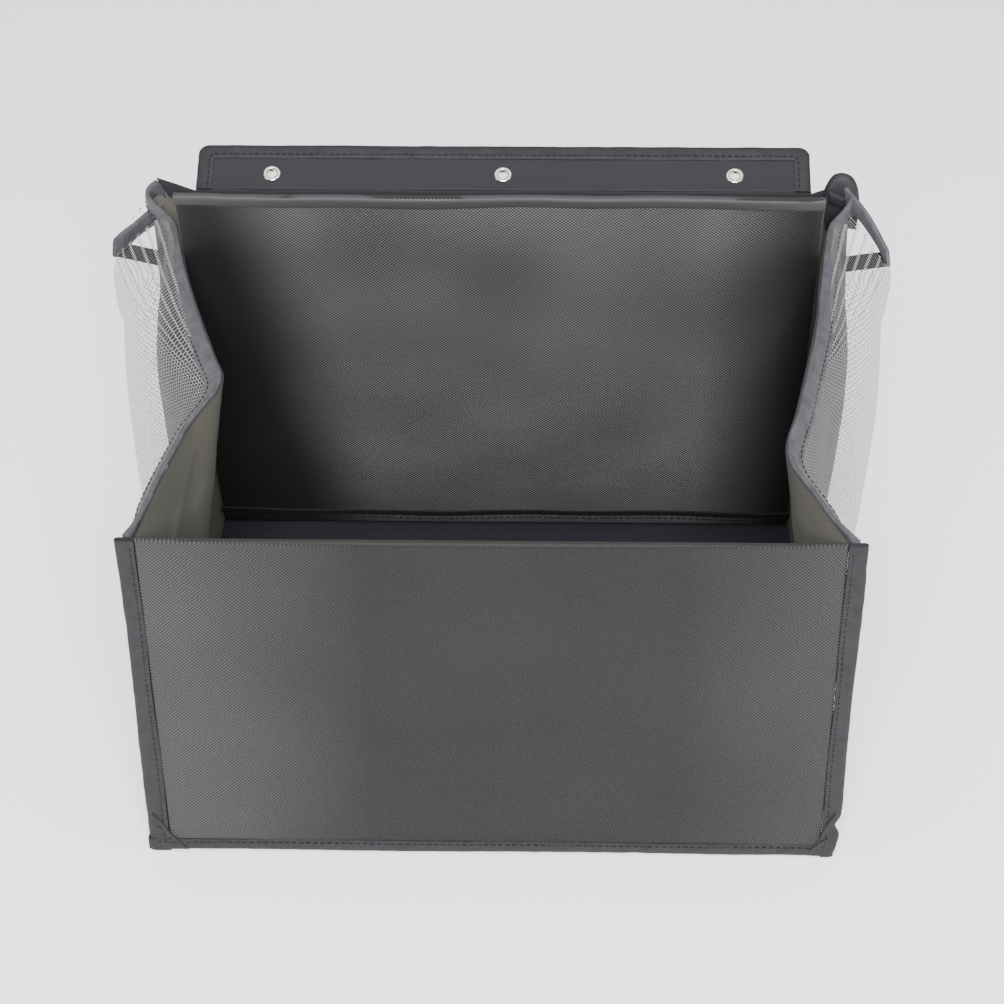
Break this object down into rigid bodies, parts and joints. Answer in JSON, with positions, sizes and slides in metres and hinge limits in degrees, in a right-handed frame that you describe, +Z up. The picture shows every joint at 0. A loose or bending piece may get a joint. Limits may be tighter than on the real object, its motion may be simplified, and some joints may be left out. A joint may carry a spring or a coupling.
{
  "type": "collapsible storage crate",
  "caption": "Open-topped fabric storage crate with stiffened panels, fold-in soft sides with net pockets, a lift-up floor insert and a hanging flap with metal eyelets.",
  "frame": {"origin": "centre of the bounding box, at the level it stands on", "axes": "+X to the crate's right as seen from its front, +Y to the back, +Z up"},
  "size_m": [0.4932, 0.3594, 0.3259],
  "materials": {
    "shell_cloth": "fine basket weave, coated, dark grey",
    "side_cloth": "single coated cloth, dark grey with an olive inner face",
    "floor_cloth": "smooth dark lining cloth",
    "flap_cloth": "smooth grey cloth",
    "binding_tape": "ribbed grey tape",
    "net": "light grey knitted net",
    "board": "plastic stiffener board",
    "eyelet_metal": "bright nickel"
  },
  "bodies": {
    "back": {"rear_cover": "shell_cloth", "rear_board": "board", "rear_tape_left": "binding_tape", "rear_tape_right": "binding_tape", "rear_tape_bottom": "binding_tape"},
    "floor_rear": {"floor_cover_rear": "floor_cloth", "floor_board_rear": "board"},
    "floor_front": {"floor_cover_front": "floor_cloth", "floor_board_front": "board"},
    "front": {"front_cover": "shell_cloth", "front_board": "board", "front_tape_left": "binding_tape", "front_tape_right": "binding_tape", "front_tape_bottom": "binding_tape"},
    "insert": {"insert_cover": "shell_cloth", "insert_board": "board"},
    "flap": {"hanging_flap": "flap_cloth", "flap_board": "board", "flap_tape": "binding_tape", "eyelet_left": "eyelet_metal", "eyelet_middle": "eyelet_metal", "eyelet_right": "eyelet_metal", "eyelet_washer_left": "eyelet_metal", "eyelet_washer_middle": "eyelet_metal", "eyelet_washer_right": "eyelet_metal"},
    "side_left_back_half": {"side_left_rear": "side_cloth", "side_tape_left_rear": "binding_tape", "net_left_rear": "net", "mouth_tape_left": "binding_tape"},
    "side_left_front_half": {"side_left_front": "side_cloth", "side_tape_left_front": "binding_tape", "net_left_front": "net"},
    "side_right_back_half": {"side_right_rear": "side_cloth", "side_tape_right_rear": "binding_tape", "net_right_rear": "net", "mouth_tape_right": "binding_tape"},
    "side_right_front_half": {"side_right_front": "side_cloth", "side_tape_right_front": "binding_tape", "net_right_front": "net"}
  },
  "joints": [
    {"name": "crate_fold", "type": "hinge", "parent": "back", "child": "floor_rear", "pos_m": [0, 0.12828, 0], "axis": [-1, 0, 0], "range_deg": [0, 78]},
    {"name": "floor_crease", "type": "hinge", "parent": "floor_rear", "child": "floor_front", "pos_m": [0, -0.02122, 0], "axis": [-1, 0, 0], "range_deg": [-156.2, 0]},
    {"name": "front_seam", "type": "hinge", "parent": "floor_front", "child": "front", "pos_m": [0, -0.17072, 0], "axis": [-1, 0, 0], "range_deg": [0, 78.1]},
    {"name": "insert_tilt", "type": "hinge", "parent": "back", "child": "insert", "pos_m": [0, 0.13628, 0.0034], "axis": [-1, 0, 0], "range_deg": [0, 13.45]},
    {"name": "flap_fold", "type": "hinge", "parent": "back", "child": "flap", "pos_m": [0, 0.14648, 0.2714], "axis": [-1, 0, 0], "range_deg": [-66, 105]},
    {"name": "side_left_seam", "type": "hinge", "parent": "back", "child": "side_left_back_half", "pos_m": [-0.2, 0.14028, 0], "axis": [0, 0, 1], "range_deg": [0, 75.64], "deforming": ["side_left_rear", "side_tape_left_rear", "net_left_rear", "mouth_tape_left"]},
    {"name": "side_left_crease", "type": "hinge", "parent": "side_left_back_half", "child": "side_left_front_half", "pos_m": [-0.2, -0.01772, 0], "axis": [0, 0, 1], "range_deg": [-151.28, 0], "deforming": ["side_left_front", "side_tape_left_front", "net_left_front"]},
    {"name": "side_right_seam", "type": "hinge", "parent": "back", "child": "side_right_back_half", "pos_m": [0.2, 0.14028, 0], "axis": [0, 0, -1], "range_deg": [0, 75.64], "deforming": ["side_right_rear", "side_tape_right_rear", "net_right_rear", "mouth_tape_right"]},
    {"name": "side_right_crease", "type": "hinge", "parent": "side_right_back_half", "child": "side_right_front_half", "pos_m": [0.2, -0.01772, 0], "axis": [0, 0, -1], "range_deg": [-151.28, 0], "deforming": ["side_right_front", "side_tape_right_front", "net_right_front"]}
  ],
  "couplings": [
    {"joint": "floor_crease", "follows": "crate_fold", "ratio": -2},
    {"joint": "front_seam", "follows": "crate_fold", "ratio": 1},
    {"joint": "insert_tilt", "follows": "crate_fold", "ratio": 0.1718},
    {"joint": "side_left_seam", "follows": "crate_fold", "ratio": 0.96784},
    {"joint": "side_left_crease", "follows": "crate_fold", "ratio": -1.9357},
    {"joint": "side_right_seam", "follows": "crate_fold", "ratio": 0.96784},
    {"joint": "side_right_crease", "follows": "crate_fold", "ratio": -1.9357}
  ]
}
